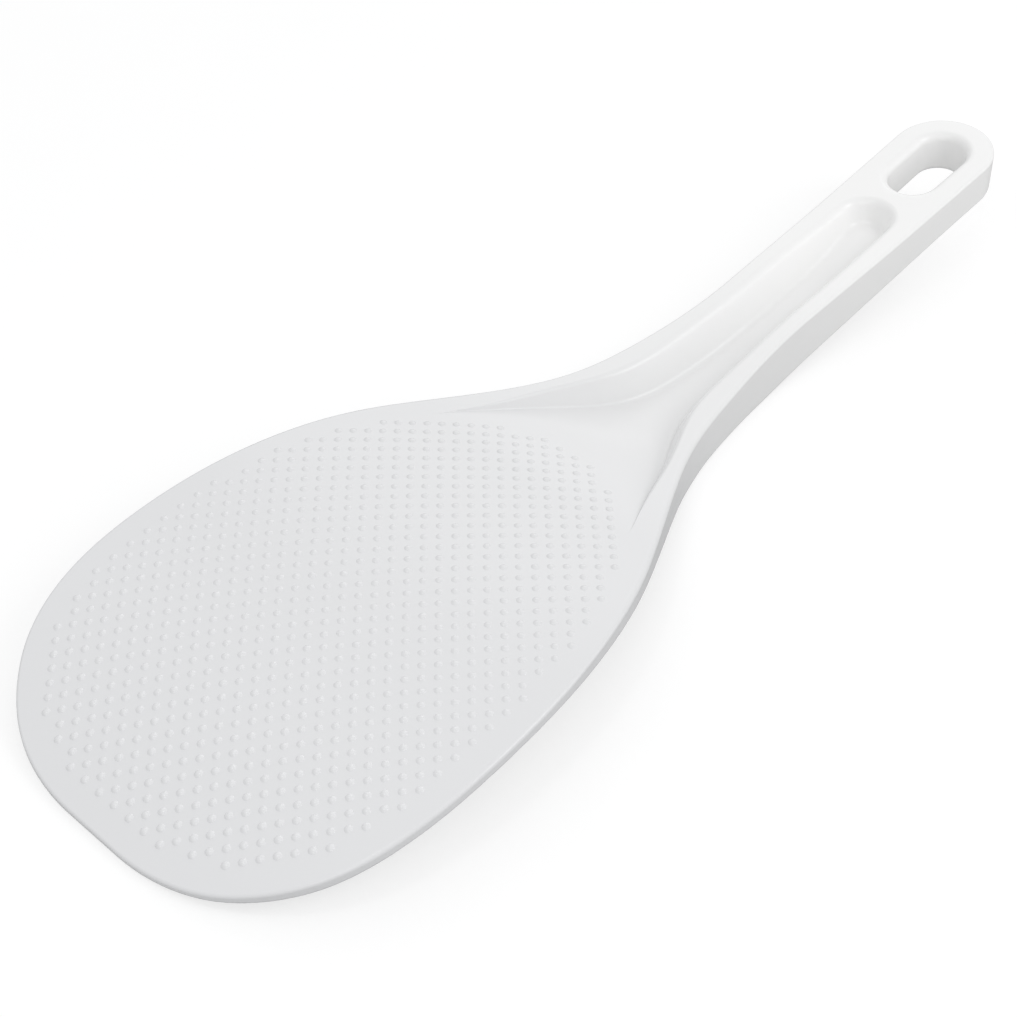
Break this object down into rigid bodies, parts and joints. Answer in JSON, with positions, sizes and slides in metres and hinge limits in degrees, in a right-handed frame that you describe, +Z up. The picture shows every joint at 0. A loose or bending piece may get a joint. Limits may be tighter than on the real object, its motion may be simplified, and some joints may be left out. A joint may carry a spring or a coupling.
{
  "type": "rice paddle",
  "caption": "Flat rice paddle: egg-shaped blade with raised dots, raised rims along the neck, troughed handle and a slot-shaped hanging hole.",
  "frame": {"origin": "on the table that the paddle lies on, under the middle of its length and width", "axes": "+X from the blade's front edge to the handle's end, +Y across, +Z up out of the blade's dotted face"},
  "size_m": [0.1964, 0.0722, 0.017],
  "materials": {
    "white_plastic": "smooth satin white"
  },
  "bodies": {
    "root": {"blade": "white_plastic", "neck": "white_plastic", "handle": "white_plastic", "hanging_eye": "white_plastic"}
  },
  "joints": []
}
